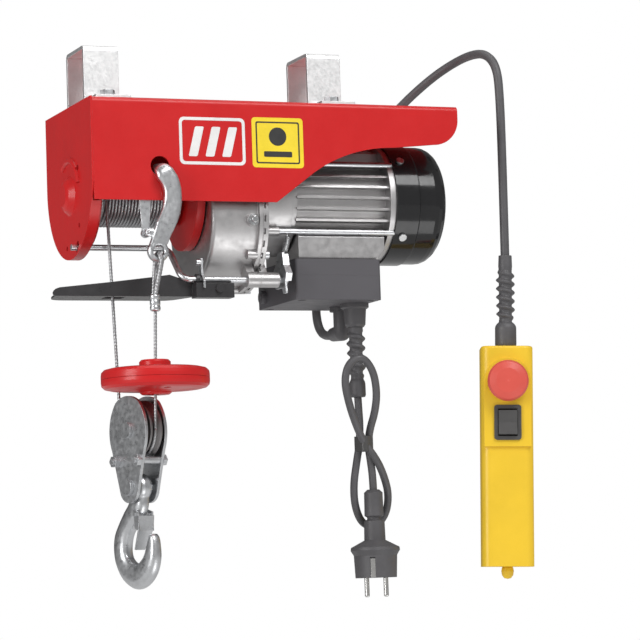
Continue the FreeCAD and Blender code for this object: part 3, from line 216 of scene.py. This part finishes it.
FINISHES = {
    "red_paint": dict(colour=(0.60, 0.014, 0.015), rough=0.34, rough_spread=0.05, patch=14, tone=0.04,
                      grain=260, grain_depth=0.00003, coat=0.12, coat_rough=0.10, specular=0.3),
    "galvanised": dict(colour=(0.95, 0.95, 0.95), metallic=1.0, rough=0.42, rough_spread=0.08, patch=90,
                       tone=0.05, grain=420, grain_depth=0.00003),
    "zinc": dict(colour=(0.66, 0.67, 0.685), metallic=1.0, rough=0.34, rough_spread=0.09, patch=60,
                 tone=0.10, grain=600, grain_depth=0.00003),
    "steel": dict(colour=(0.60, 0.61, 0.62), metallic=1.0, rough=0.25, rough_spread=0.08, patch=60,
                  tone=0.08, grain=500, grain_depth=0.00001, stretch=(1, 8, 8)),
    "wire_rope": dict(colour=(0.46, 0.46, 0.47), metallic=1.0, rough=0.34, rough_spread=0.08, patch=200,
                      tone=0.15, grain=1500, grain_depth=0.00002),
    "cast_aluminium": dict(colour=(0.55, 0.54, 0.54), metallic=1.0, rough=0.42, rough_spread=0.08, patch=40,
                           tone=0.08, grain=900, grain_depth=0.00006),
    "black_gloss": dict(colour=(0.012, 0.012, 0.013), rough=0.16, rough_spread=0.05, patch=30, tone=0.05,
                        grain=300, grain_depth=0.00003, coat=0.3, coat_rough=0.05, specular=0.3),
    "black_paint": dict(colour=(0.035, 0.034, 0.036), rough=0.34, rough_spread=0.07, patch=40, tone=0.08,
                        grain=700, grain_depth=0.00004),
    "box_plastic": dict(colour=(0.095, 0.091, 0.10), rough=0.52, rough_spread=0.05, patch=20, tone=0.05,
                        grain=1400, grain_depth=0.00005),
    "black_rubber": dict(colour=(0.10, 0.097, 0.102), rough=0.50, rough_spread=0.08, patch=60, tone=0.10,
                         grain=1500, grain_depth=0.00004),
    "yellow_plastic": dict(colour=(0.90, 0.585, 0.028), rough=0.36, rough_spread=0.06, patch=25, tone=0.04,
                           grain=1300, grain_depth=0.00003),
    "red_plastic": dict(colour=(0.70, 0.095, 0.07), rough=0.34, rough_spread=0.05, patch=40, tone=0.04,
                        grain=1300, grain_depth=0.00002),
    "black_plastic": dict(colour=(0.075, 0.073, 0.072), rough=0.38, rough_spread=0.06, patch=50, tone=0.06,
                          grain=1300, grain_depth=0.00003),
    "grey_plastic": dict(colour=(0.28, 0.28, 0.30), rough=0.45, rough_spread=0.06, patch=40, tone=0.05,
                         grain=1300, grain_depth=0.00003),
    "bronze": dict(colour=(0.55, 0.36, 0.16), metallic=1.0, rough=0.38, rough_spread=0.08, patch=80,
                   tone=0.12, grain=900, grain_depth=0.00003),
    "core_steel": dict(colour=(0.25, 0.24, 0.24), metallic=0.8, rough=0.45, rough_spread=0.08, patch=80,
                       tone=0.10, grain=900, grain_depth=0.00004),
    "chrome_plate": dict(colour=(0.74, 0.73, 0.71), metallic=1.0, rough=0.18, rough_spread=0.06, patch=80,
                         tone=0.05, grain=900, grain_depth=0.00001),
}
finishes = {name: finish_material(name, **values) for name, values in FINISHES.items()}


def set_material(piece, name):
    piece.data.materials.clear()
    piece.data.materials.append(finishes[name])


node_slots = {part["node"]: part["material_slot"] for part in frame["record"]["subparts"]}
for name, piece in nodes.items():
    set_material(piece, node_slots[name])
for cord in (mains_lead, pendant_lead):
    set_material(cord, "black_rubber")


# ---- mesh tools ----
def new_piece(name, verts, faces, body, slot, replaces=(), smooth=True):
    mesh = bpy.data.meshes.new(name)
    mesh.from_pydata([tuple(v) for v in verts], [], faces)
    mesh.validate()
    piece = bpy.data.objects.new(name, mesh)
    bpy.context.collection.objects.link(piece)
    for face in mesh.polygons:
        face.use_smooth = smooth
    return dress(piece, body, slot, replaces)


def dress(piece, body, slot, replaces=()):
    """Gives a piece its finish, its body and the CAD nodes that it stands for."""
    set_material(piece, slot)
    if body:
        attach(piece, body)
    if replaces:
        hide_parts(*replaces)
    return piece


def curve_through(points, steps=8):
    """Catmull-Rom curve through rows of numbers, points or any other stations."""
    rows = [np.array(p, float).ravel() for p in points]
    rows = [2 * rows[0] - rows[1]] + rows + [2 * rows[-1] - rows[-2]]
    found = []
    for a, b, c, d in zip(rows, rows[1:], rows[2:], rows[3:]):
        for k in range(steps):
            t = k / steps
            found.append(0.5 * (2 * b + (c - a) * t + (2 * a - 5 * b + 4 * c - d) * t * t
                                + (3 * b - a - 3 * c + d) * t ** 3))
    found.append(rows[-2])
    return np.array(found)


def frames_along(path):
    """For each point of a path: point, side and up vectors that turn as little as they can."""
    path = [Vector(p) for p in path]
    last = len(path) - 1
    tangents = [(path[min(k + 1, last)] - path[max(k - 1, 0)]).normalized() for k in range(last + 1)]
    side = tangents[0].orthogonal().normalized()
    found = []
    for at, tangent in zip(path, tangents):
        side = (side - tangent * side.dot(tangent)).normalized()
        found.append((at, side, tangent.cross(side)))
    return found


def sweep_rings(rings, closed_ends=True):
    """Vertices and faces of a skin over rings that all have the same number of points."""
    count = len(rings[0])
    verts = [point for ring in rings for point in ring]
    faces = []
    for k in range(len(rings) - 1):
        for j in range(count):
            nxt = (j + 1) % count
            faces.append((k * count + j, k * count + nxt, (k + 1) * count + nxt, (k + 1) * count + j))
    if closed_ends:
        faces.append(tuple(reversed(range(count))))
        faces.append(tuple(range((len(rings) - 1) * count, len(rings) * count)))
    return verts, faces


def revolve_mesh(outline, base, axis, segments=64, wave=None):
    """Skin of revolution of (radius, height) pairs; wave(angle, height) is added to the radius."""
    axis = Vector(axis).normalized()
    side = axis.orthogonal().normalized()
    other = axis.cross(side)
    rings = []
    for radius, height in outline:
        ring = []
        for k in range(segments):
            angle = 2 * math.pi * k / segments
            r = radius + (wave(angle, height) if wave else 0)
            ring.append(base + axis * height + side * (r * math.cos(angle)) + other * (r * math.sin(angle)))
        rings.append(ring)
    return sweep_rings(rings)


def resample(path, step):
    """Points of a path at an even spacing of about step."""
    path = [Vector(p) for p in path]
    lengths = [0.0]
    for a, b in zip(path, path[1:]):
        lengths.append(lengths[-1] + (b - a).length)
    count = max(2, round(lengths[-1] / step))
    found, j = [], 0
    for k in range(count + 1):
        at = lengths[-1] * k / count
        while j < len(path) - 2 and lengths[j + 1] < at:
            j += 1
        share = (at - lengths[j]) / max(1e-9, lengths[j + 1] - lengths[j])
        found.append(path[j].lerp(path[j + 1], min(1, share)))
    return found


# ---- wire rope: six strands laid round each other ----
ROPE_R = 1.6 * MM
LAY_LENGTH = 20 * MM
STRANDS = 6


def rope_skin(path, radius=ROPE_R, per_strand=4, step=2.0 * MM):
    """Skin of a laid rope: a lobed section that turns once in each lay length."""
    points = resample(path, step)
    count = STRANDS * per_strand
    rings, run = [], 0.0
    for k, (at, side, up) in enumerate(frames_along(points)):
        if k:
            run += (at - points[k - 1]).length
        twist = 2 * math.pi * run / LAY_LENGTH
        ring = []
        for j in range(count):
            angle = 2 * math.pi * j / count
            r = radius * (0.74 + 0.26 * abs(math.sin(STRANDS * angle / 2)))
            ring.append(at + side * (r * math.cos(angle + twist)) + up * (r * math.sin(angle + twist)))
        rings.append(ring)
    return sweep_rings(rings)


BLOCK_TURN = math.radians(20)
BLOCK_AT = place(45, -56.1, -317)
BLOCK_AXLE = Vector((math.cos(BLOCK_TURN), math.sin(BLOCK_TURN), 0))
BLOCK_SIDE = Vector((-math.sin(BLOCK_TURN), math.cos(BLOCK_TURN), 0))
PULLEY_ROPE_R = 26.5 * MM
DRUM_Z, ROPE_PITCH = -86, 3.26
COIL_START, COIL_R, COIL_TURNS = 19.7, 28.4, 26
OVER_START, OVER_R, OVER_STEPS = 27, 31.4, 80
TURN_STEPS = 36


def block_point(x, y, z):
    """A point of the pulley block's own frame, in millimetres, in the row frame."""
    return BLOCK_AT + (BLOCK_AXLE * x + BLOCK_SIDE * y + AZ * z) * MM


def drum_helix(start, pitch, radius, count):
    """Points of the rope on the drum, from its front, in millimetres of part.py."""
    found = []
    for k in range(count):
        angle = 2 * math.pi * k / TURN_STEPS
        found.append(place(start + pitch * k / TURN_STEPS, -radius * math.cos(angle),
                           DRUM_Z + radius * math.sin(angle)))
    return found


def make_ropes():
    top_drum = place(27, -31.8, DRUM_Z)
    top_anchor = place(57, -82, -206)
    low_drum = BLOCK_AT + BLOCK_SIDE * PULLEY_ROPE_R
    low_anchor = BLOCK_AT - BLOCK_SIDE * PULLEY_ROPE_R
    for name, node, top, low in (("rope_to_drum", "rope_fall_drum", top_drum, low_drum),
                                 ("rope_to_anchor", "rope_fall_anchor", top_anchor, low_anchor)):
        verts, faces = rope_skin([top, low])
        piece = new_piece(name, verts, faces, None, "wire_rope", (node,))
        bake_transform(piece)
    bend = [BLOCK_AT + BLOCK_SIDE * (PULLEY_ROPE_R * math.cos(a)) - AZ * (PULLEY_ROPE_R * math.sin(a))
            for a in [math.pi * k / 40 for k in range(41)]]
    verts, faces = rope_skin(bend)
    new_piece("rope_round_pulley", verts, faces, "block", "wire_rope", ("rope_on_pulley",))
    layer = drum_helix(COIL_START, ROPE_PITCH, COIL_R, COIL_TURNS * TURN_STEPS + 1)
    last = drum_helix(OVER_START, -ROPE_PITCH, OVER_R, OVER_STEPS)
    first, first_faces = rope_skin(layer, per_strand=3, step=2.6 * MM)
    over, over_faces = rope_skin(last, per_strand=3, step=2.6 * MM)
    faces = first_faces + [tuple(i + len(first) for i in face) for face in over_faces]
    new_piece("rope_winding", first + over, faces, "drum", "wire_rope", ("rope_coil",))


make_ropes()


# ---- forged hooks ----
def oval_ring(centre, across, along, half_width, half_depth, count=20, power=2.6):
    """A ring between an ellipse and a rectangle: a power of 2 is an ellipse, and higher is squarer."""
    ring = []
    for j in range(count):
        angle = 2 * math.pi * j / count
        c, s = math.cos(angle), math.sin(angle)
        u = math.copysign(abs(c) ** (2 / power), c) * half_width
        v = math.copysign(abs(s) ** (2 / power), s) * half_depth
        ring.append(centre + across * u + along * v)
    return ring


def apply_modifiers(piece):
    bpy.context.view_layer.update()
    made = bpy.data.meshes.new_from_object(piece.evaluated_get(bpy.context.evaluated_depsgraph_get()))
    piece.modifiers.clear()
    piece.data = made
    return piece


def melt(name, shells, voxel, rounds, body, slot, replaces):
    """Joins overlapping shells into one smooth solid, as a forging or casting is."""
    verts, faces = [], []
    for shell_verts, shell_faces in shells:
        faces += [tuple(i + len(verts) for i in face) for face in shell_faces]
        verts += shell_verts
    mesh = bpy.data.meshes.new(name)
    mesh.from_pydata([tuple(v) for v in verts], [], faces)
    piece = bpy.data.objects.new(name, mesh)
    bpy.context.collection.objects.link(piece)
    remesh = piece.modifiers.new("remesh", "REMESH")
    remesh.mode = "VOXEL"
    remesh.voxel_size = voxel
    relax = piece.modifiers.new("smooth", "SMOOTH")
    relax.factor = 0.5
    relax.iterations = rounds
    apply_modifiers(piece)
    for face in piece.data.polygons:
        face.use_smooth = True
    return dress(piece, body, slot, replaces)


def forged_rings(stations, to_space, depth_axis, steps=6, power=2.6):
    """Rings between two edge curves: each station is outer (u, v), inner (u, v) and half depth."""
    rings = []
    for ou, ov, iu, iv, depth in curve_through(stations, steps):
        outer, inner = to_space(ou, ov), to_space(iu, iv)
        across = outer - inner
        rings.append(oval_ring((outer + inner) / 2, across.normalized(), depth_axis, across.length / 2,
                               depth * MM, power=power))
    return rings


def forged_shell(stations, to_space, depth_axis, steps=6, power=2.6):
    return sweep_rings(forged_rings(stations, to_space, depth_axis, steps, power))


def make_load_hook():
    pin = -54
    stations = [
        (9.5, -4, -9.5, -4, 7.0), (10.5, -10, -9.3, -11, 7.2), (14, -16, -8.5, -19, 7.3),
        (21, -23, -3.5, -28.5, 7.4), (29.5, -34, 6, -36, 7.4), (36, -45, 14.5, -44, 7.4),
        (37.6, -58, 18.6, -56, 7.5), (34.5, -73, 17, -65, 7.5), (24, -88, 10, -70.5, 7.5),
        (7, -96.3, 2.5, -71.8, 7.5), (-8, -93, -4, -68, 7.5), (-19.5, -83, -9, -62.5, 7.2),
        (-25.2, -70, -12, -55, 6.6), (-25.6, -57, -14.2, -49.5, 5.8), (-24, -48.5, -16.2, -46, 5.0),
        (-21.6, -44.8, -17.8, -44.4, 3.4),
    ]
    arm = forged_shell(stations, lambda u, v: block_point(0, u, pin + v), BLOCK_AXLE, steps=5)
    eye_outline = [(5.0, -6.4), (5.8, -7.2), (9, -7.3), (11.6, -6.2), (12.9, -3.2), (12.9, 3.2),
                   (11.6, 6.2), (9, 7.3), (5.8, 7.2), (5.0, 6.4), (5.0, -6.4)]
    eye_verts, eye_faces = revolve_mesh([(r * MM, h * MM) for r, h in eye_outline],
                                        block_point(0, 0, pin), BLOCK_AXLE, 48)
    eye_faces = eye_faces[:-2]
    melt("forged_load_hook", [arm, (eye_verts, eye_faces)], 0.7 * MM, 4, "load_hook", "zinc", ("load_hook",))


def make_anchor_hook():
    """The arm and its bend into the housing, the nose, the eye, and the ear with the latch pin."""
    y, nose_y = -82, -69.5
    bend_r, tip = 8, 8
    stations = [
        (81.5, -120, 59.5, -122, 5.2), (86, -104, 66.5, -107, 5.3), (86.3, -90, 68.8, -94, 5.4),
        (83.5, -78, 66.8, -85, 5.4), (78, -69, 62.5, -79, 5.4),
    ]
    lower = [
        (86, -104, 66.5, -107, 5.3), (81, -121, 59.5, -123, 5.2), (74.5, -134, 56, -134, 4.6),
        (71, -142, 52.5, -143, 4.0),
    ]
    rings = forged_rings(stations, lambda u, v: place(u, y, v), AY, 6, power=3.2)
    across = Vector((15.5, 0, 10)).normalized()
    ahead = across.cross(AY)
    for k in range(1, 14):
        share = min(1, k / 12)
        angle = math.pi / 2 * share
        at = place(70.25 + 2.1 * share, y + (tip if k == 13 else 0), -74 - 2.2 * share)
        at += (ahead * math.sin(angle) + AY * (1 - math.cos(angle))) * bend_r * MM
        tangent = ahead * math.cos(angle) + AY * math.sin(angle)
        rings.append(oval_ring(at, across, tangent.cross(across), (9.2 - 3.7 * share) * MM, 5.4 * MM,
                               power=3.2 - 0.8 * share))
    shells = [sweep_rings(rings), forged_shell(lower, lambda u, v: place(u, y, v), AY, 6, power=3.2)]
    nose = curve_through([(67.5, nose_y, z, r) for z, r in
                          ((-63.5, 3.4), (-66, 4.4), (-78, 4.4), (-83.4, 3.0))], 4)
    shells.append(sweep_rings([oval_ring(at, side, up, r * MM, r * MM, power=2)
                               for (at, side, up), r in zip(frames_along([place(*row[:3]) for row in nose]),
                                                            nose[:, 3])]))
    eye = [(5.4, -2), (5.9, -3.4), (7.2, -4), (8.6, -3.9), (10.2, -2.4), (10.7, 0), (10.2, 2.4), (8.6, 3.9),
           (7.2, 4), (5.9, 3.4), (5.4, 2), (5.4, -2)]
    verts, faces = revolve_mesh([(r * MM, h * MM) for r, h in eye], place(61.3, y, -149), AY, 48)
    shells.append((verts, faces[:-2]))
    ear = curve_through([(62, y, -131, 3.4), (56, y, -131, 3.8), (51, y, -131, 3.6), (49.2, y, -131, 2.4)], 4)
    shells.append(sweep_rings([oval_ring(place(*row[:3]), AZ, AY, row[3] * MM, 2.0 * MM, power=3)
                               for row in ear]))
    pin = [(1.5, -4.0), (1.5, 12.6)]
    pin_verts, pin_faces = revolve_mesh([(r * MM, h * MM) for r, h in [(0.1, -4.3), (1.2, -4.2)] + pin
                                         + [(0.1, 12.8)]], place(52, y, -131), AY, 20)
    shells.append((pin_verts, pin_faces))
    melt("forged_anchor_hook", shells, 0.6 * MM, 3, "frame", "zinc", ("anchor_hook",))


def make_rope_loop():
    """Rope through the anchor hook's eye and back, and the ferrule pressed on its two legs."""
    crown, spread = (61.5, -82, -159.5), 9.0
    ferrule_at, squeeze = (57, -82, -190), 2.5
    route = [(ferrule_at[0], ferrule_at[1] - squeeze, ferrule_at[2] - 4)]
    route += [(ferrule_at[0], ferrule_at[1] - squeeze, ferrule_at[2] + 1)]
    for k in range(13):
        angle = math.pi * k / 12
        route.append((crown[0], crown[1] - spread * math.cos(angle), crown[2] + spread * math.sin(angle)))
    route += [(ferrule_at[0], ferrule_at[1] + squeeze, ferrule_at[2] + 1)]
    route += [(ferrule_at[0], ferrule_at[1] + squeeze, ferrule_at[2] - 4)]
    smooth = curve_through([place(*point) for point in route], 4)
    verts, faces = rope_skin(smooth, radius=2.6 * MM, step=1.5 * MM)
    new_piece("rope_loop", verts, faces, "frame", "wire_rope", ("rope_end_loop",))
    outline = [(0.2, 0), (4.4, 0), (5.3, -0.7), (5.6, -1.8), (5.6, -4.2), (5.2, -4.8), (5.2, -5.6),
               (5.6, -6.2), (5.6, -9.8), (5.2, -10.4), (5.2, -11.2), (5.6, -11.8), (5.6, -14.2),
               (5.2, -15.3), (4.2, -16), (0.2, -16)]
    verts, faces = revolve_mesh([(r * MM, h * MM) for r, h in outline], place(*ferrule_at), AZ, 40,
                                lambda a, h: -0.8 * MM * (0.5 - 0.5 * math.cos(2 * a)))
    new_piece("pressed_ferrule", verts, faces, "frame", "zinc", ("rope_end_loop",))


make_load_hook()
make_anchor_hook()
make_rope_loop()


# ---- return spring ----
def make_spring():
    head, foot = place(207.5, -47, -127.5), place(200, -53, -147.5)
    along = foot - head
    down = along.normalized()
    side = down.orthogonal().normalized()
    other = down.cross(side)
    coil_r, turns, wire = 2.5 * MM, 9, 0.62 * MM
    path = [head + side * coil_r * 0.2 - down * 0.0012]
    for k in range(turns * 16 + 1):
        angle = 2 * math.pi * k / 16
        share = 0.1 + 0.72 * k / (turns * 16)
        out = side * math.cos(angle) + other * math.sin(angle)
        path.append(head + along * share + out * coil_r)
    path.append(foot - down * 0.0012 + side * coil_r * 0.3)
    path.append(foot + down * 0.0006)
    rings = []
    for at, side_v, up in frames_along(path):
        rings.append([at + side_v * (wire * math.cos(2 * math.pi * j / 8))
                      + up * (wire * math.sin(2 * math.pi * j / 8)) for j in range(8)])
    verts, faces = sweep_rings(rings)
    piece = new_piece("coil_spring", verts, faces, None, "steel", ("return_spring",))
    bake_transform(piece)


make_spring()


# ---- strain reliefs with a spiral rib ----
def rib(angle, height, pitch, depth, low, high):
    """How far the spiral rib stands out at an angle and a height."""
    if not low < height < high:
        return 0.0
    phase = (height / pitch + angle / (2 * math.pi)) % 1.0
    fade = min(1.0, (height - low) / pitch, (high - height) / pitch)
    return depth * fade * (0.5 - 0.5 * math.cos(2 * math.pi * min(1.0, phase * 1.35))) ** 0.7


def spiral_sleeve(name, base, axis, core, low, high, pitch, depth, body, node):
    """core is the plain outline, (radius, height) in millimetres, with the rib between low and high."""
    outline = []
    for (r0, h0), (r1, h1) in zip(core, core[1:]):
        count = max(1, round(abs(h1 - h0) / 0.6))
        outline += [(r0 + (r1 - r0) * k / count, h0 + (h1 - h0) * k / count) for k in range(count)]
    outline.append(core[-1])
    verts, faces = revolve_mesh([(r * MM, h * MM) for r, h in outline], base, axis, 48,
                                lambda a, h: rib(a, h / MM, pitch, depth, low, high) * MM)
    return new_piece(name, verts, faces, body, "black_rubber", (node,))


PENDANT_AT = place(444, -37, -150)
PENDANT_TURN, PENDANT_LEAN = math.radians(-21.4), math.radians(1.8)
PENDANT_FRAME = (Matrix.Translation(PENDANT_AT) @ Matrix.Rotation(PENDANT_TURN, 4, "Z")
                 @ Matrix.Rotation(PENDANT_LEAN, 4, "Y"))


def make_strain_reliefs():
    gland_at = place(288, -14, -191)
    spiral_sleeve("mains_spiral", gland_at, -AZ, [(3.9, 23.6), (7.4, 23.6), (6.7, 30), (6.0, 70), (6.2, 75),
                                                  (7.6, 77.5), (8.1, 80), (8.2, 91), (7.4, 93), (3.9, 93)],
                  25, 76, 9.5, 2.9, "frame", "mains_strain_relief")
    down = (PENDANT_FRAME.to_3x3() @ -AZ).normalized()
    spiral_sleeve("pendant_spiral", PENDANT_AT, down,
                  [(4.6, -6), (6.6, -6), (7.0, 5), (6.6, 8), (6.4, 61), (8.8, 63), (10.2, 65), (10.7, 67),
                   (10.8, 83.5), (10.2, 86), (4.6, 86)],
                  7, 62, 8.6, 3.0, "frame", "pendant_strain_relief")


make_strain_reliefs()


# ---- printed panels on the housing's front: plain shapes, no lettering ----
FRONT_Y = -76.0
PRINT_T = 0.12
prints = {
    "white_print": finish_material("white_print", (0.86, 0.85, 0.84), rough=0.42, grain=900,
                                   grain_depth=0.00001),
    "yellow_print": finish_material("yellow_print", (0.93, 0.70, 0.03), rough=0.40, grain=900,
                                    grain_depth=0.00001),
    "black_print": finish_material("black_print", (0.03, 0.03, 0.03), rough=0.45, grain=900,
                                   grain_depth=0.00001),
}


def panel_outline(x0, x1, z0, z1, corner, lean=0.0, steps=6):
    points = []
    for cx, cz, first in ((x1, z1, 0), (x0, z1, 90), (x0, z0, 180), (x1, z0, 270)):
        px = cx - corner if cx == x1 else cx + corner
        pz = cz - corner if cz == z1 else cz + corner
        for k in range(steps + 1):
            angle = math.radians(first + 90 * k / steps)
            z = pz + corner * math.sin(angle)
            points.append((px + corner * math.cos(angle) + lean * (z - z0), z))
    return points


def print_panel(name, ink, outline, layer=0, hole=None):
    """A flat print from a closed outline of (x, z); a hole of as many points makes it a frame."""
    near, far = FRONT_Y - PRINT_T * (layer + 1), FRONT_Y - PRINT_T * layer + 0.02
    if hole:
        rings = [[place(x, y, z) for x, z in edge]
                 for edge, y in ((outline, far), (outline, near), (hole, near), (hole, far), (outline, far))]
        verts, faces = sweep_rings(rings, closed_ends=False)
    else:
        verts, faces = sweep_rings([[place(x, y, z) for x, z in outline] for y in (far, near)])
    piece = new_piece(name, verts, faces, "frame", "grey_plastic", smooth=False)
    piece.data.materials.clear()
    piece.data.materials.append(prints[ink])


def make_prints():
    print_panel("white_frame_print", "white_print", panel_outline(88, 155, -64, -18, 5),
                hole=panel_outline(91, 152, -61, -21, 3))
    for k in range(3):
        x = 97 + 17 * k
        print_panel("white_bar_print_%d" % k, "white_print",
                    panel_outline(x, x + 9, -56, -27, 1.5, lean=0.25))
    print_panel("yellow_panel_print", "yellow_print", panel_outline(162, 215, -65.5, -16.5, 3.5))
    print_panel("black_frame_print", "black_print", panel_outline(166, 211, -61.5, -20.5, 2), 1,
                hole=panel_outline(167.4, 209.6, -60.1, -21.9, 1.2))
    print_panel("black_disc_print", "black_print", panel_outline(179.5, 197.5, -44, -26, 8.9), 1)
    print_panel("black_bar_print", "black_print", panel_outline(174, 203, -55, -49.5, 1), 1)


make_prints()


# ---- studio ----
FLOOR_Z = -6.3
STUDIO_R = 60.0
GLOW_FRONT, GLOW_BACK = 0.42, 0.10
FLOOR_GLOW = 0.35


def make_studio():
    mesh = bpy.data.meshes.new("floor")
    shape = bmesh.new()
    bmesh.ops.create_circle(shape, cap_ends=True, radius=STUDIO_R, segments=96)
    bmesh.ops.translate(shape, vec=(0, 0, FLOOR_Z), verts=shape.verts)
    shape.to_mesh(mesh)
    shape.free()
    floor = bpy.data.objects.new("floor", mesh)
    bpy.context.collection.objects.link(floor)
    material, tree, shader = new_material("floor")
    shader.inputs["Base Color"].default_value = grey(0.9)
    shader.inputs["Roughness"].default_value = 0.9
    shader.inputs["Emission Color"].default_value = grey(1)
    shader.inputs["Emission Strength"].default_value = FLOOR_GLOW
    mesh.materials.append(material)
    world = bpy.data.worlds.new("studio")
    world.use_nodes = True
    tree = world.node_tree
    rays = tree.nodes.new("ShaderNodeLightPath")
    direction = tree.nodes.new("ShaderNodeTexCoord")
    parts = tree.nodes.new("ShaderNodeSeparateXYZ")
    tree.links.new(direction.outputs["Generated"], parts.inputs[0])
    glow = tree.nodes.new("ShaderNodeMapRange")
    glow.inputs["From Min"].default_value = -1.0
    glow.inputs["From Max"].default_value = 1.0
    glow.inputs["To Min"].default_value = GLOW_FRONT
    glow.inputs["To Max"].default_value = GLOW_BACK
    tree.links.new(parts.outputs["Y"], glow.inputs["Value"])
    strength = tree.nodes.new("ShaderNodeMapRange")
    strength.inputs["To Max"].default_value = 1.0
    tree.links.new(glow.outputs["Result"], strength.inputs["To Min"])
    tree.links.new(rays.outputs["Is Camera Ray"], strength.inputs["Value"])
    tree.links.new(strength.outputs["Result"], tree.nodes["Background"].inputs["Strength"])
    tree.nodes["Background"].inputs["Color"].default_value = grey(1)
    bpy.context.scene.world = world


def make_light(name, at, look, size, power):
    data = bpy.data.lights.new(name, "AREA")
    data.shape = "RECTANGLE"
    data.size, data.size_y = size
    data.energy = power
    light = bpy.data.objects.new(name, data)
    light.location = at
    light.rotation_euler = (Vector(look) - Vector(at)).to_track_quat("-Z", "Y").to_euler()
    bpy.context.collection.objects.link(light)


make_studio()
make_light("key", (0.7, -2.3, 2.1), (0.05, 0, -0.2), (1.8, 1.4), 58)
make_light("fill", (-2.6, -0.9, 0.3), (0, 0, -0.2), (1.2, 1.6), 40)
make_light("low", (0.9, -2.0, -2.2), (0.05, 0, -0.2), (1.6, 1.2), 14)
make_light("top", (0.1, 0.2, 2.2), (0, 0, -0.1), (1.8, 1.2), 14)
bpy.context.scene.view_settings.view_transform = "Standard"
